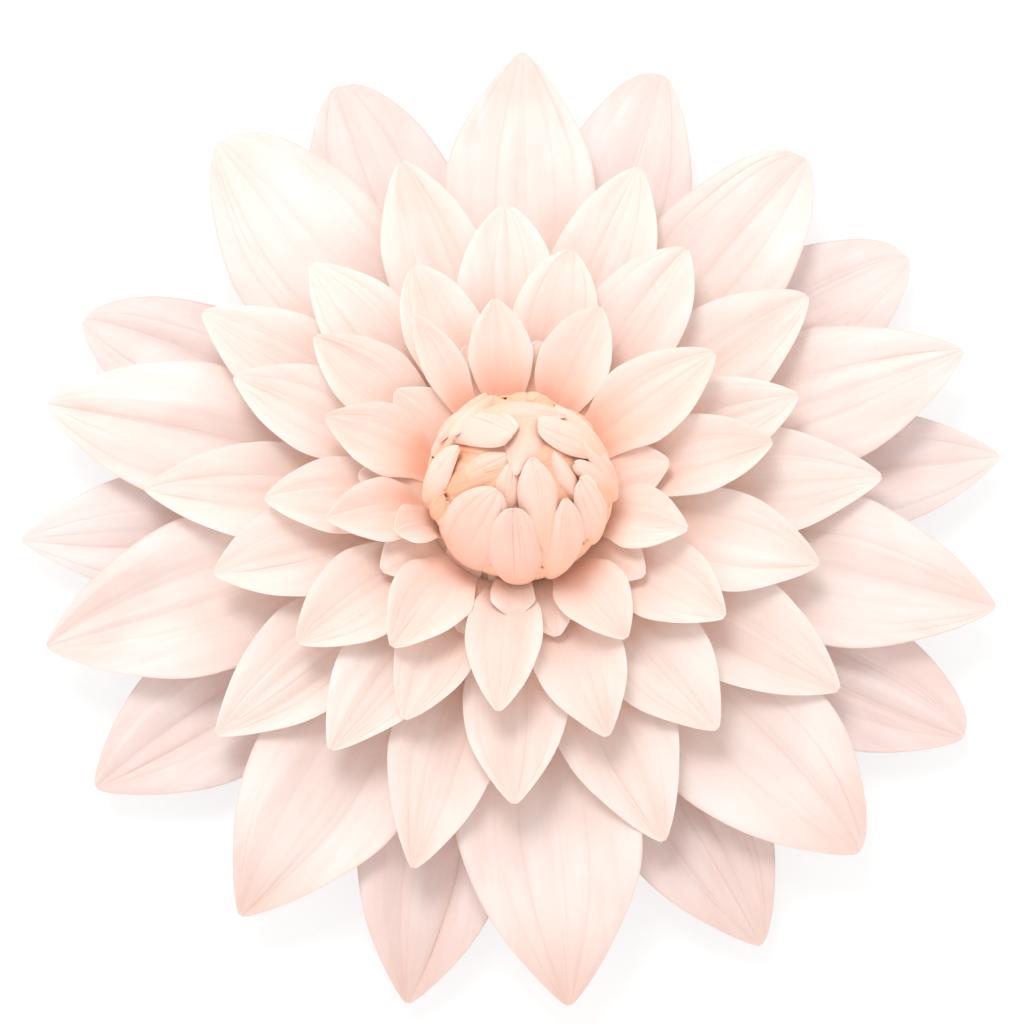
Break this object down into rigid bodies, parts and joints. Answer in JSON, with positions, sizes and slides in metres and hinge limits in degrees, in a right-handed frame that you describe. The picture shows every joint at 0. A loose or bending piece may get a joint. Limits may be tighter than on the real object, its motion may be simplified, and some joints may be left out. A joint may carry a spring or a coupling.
{
  "type": "giant paper flower",
  "caption": "Large dahlia-like wall or table flower of folded paper petals in tiers round a closed bud, on a round card back.",
  "frame": {"origin": "middle of the backing disc's back face", "axes": "+Z out of the front of the flower, along the core; +X to the viewer's right and +Y up when the flower is seen from the front"},
  "size_m": [0.5947, 0.5926, 0.1468],
  "materials": {
    "outer_paper": "matte",
    "inner_paper": "matte",
    "bud_paper": "matte",
    "card": "matte"
  },
  "bodies": {
    "root": {"backing_disc": "card", "bud": "bud_paper", "tier_1_petal_01": "outer_paper", "tier_1_petal_02": "outer_paper", "tier_1_petal_03": "outer_paper", "tier_1_petal_04": "outer_paper", "tier_1_petal_05": "outer_paper", "tier_1_petal_06": "outer_paper", "tier_1_petal_07": "outer_paper", "tier_1_petal_08": "outer_paper", "tier_1_petal_09": "outer_paper", "tier_1_petal_10": "outer_paper", "tier_2_petal_01": "outer_paper", "tier_2_petal_02": "outer_paper", "tier_2_petal_03": "outer_paper", "tier_2_petal_04": "outer_paper", "tier_2_petal_05": "outer_paper", "tier_2_petal_06": "outer_paper", "tier_2_petal_07": "outer_paper", "tier_2_petal_08": "outer_paper", "tier_2_petal_09": "outer_paper", "tier_2_petal_10": "outer_paper", "tier_3_petal_01": "inner_paper", "tier_3_petal_02": "inner_paper", "tier_3_petal_03": "inner_paper", "tier_3_petal_04": "inner_paper", "tier_3_petal_05": "inner_paper", "tier_3_petal_06": "inner_paper", "tier_3_petal_07": "inner_paper", "tier_3_petal_08": "inner_paper", "tier_3_petal_09": "inner_paper", "tier_3_petal_10": "inner_paper", "tier_4_petal_01": "inner_paper", "tier_4_petal_02": "inner_paper", "tier_4_petal_03": "inner_paper", "tier_4_petal_04": "inner_paper", "tier_4_petal_05": "inner_paper", "tier_4_petal_06": "inner_paper", "tier_4_petal_07": "inner_paper", "tier_4_petal_08": "inner_paper", "tier_4_petal_09": "inner_paper", "tier_4_petal_10": "inner_paper", "tier_5_petal_01": "inner_paper", "tier_5_petal_02": "inner_paper", "tier_5_petal_03": "inner_paper", "tier_5_petal_04": "inner_paper", "tier_5_petal_05": "inner_paper", "tier_5_petal_06": "inner_paper", "tier_5_petal_07": "inner_paper", "tier_5_petal_08": "inner_paper", "tier_5_petal_09": "inner_paper", "tier_6_petal_01": "inner_paper", "tier_6_petal_02": "inner_paper", "tier_6_petal_03": "inner_paper", "tier_6_petal_04": "inner_paper", "tier_6_petal_05": "inner_paper", "tier_6_petal_06": "inner_paper", "tier_6_petal_07": "inner_paper", "tier_6_petal_08": "inner_paper", "tier_6_petal_09": "inner_paper"}
  },
  "joints": []
}
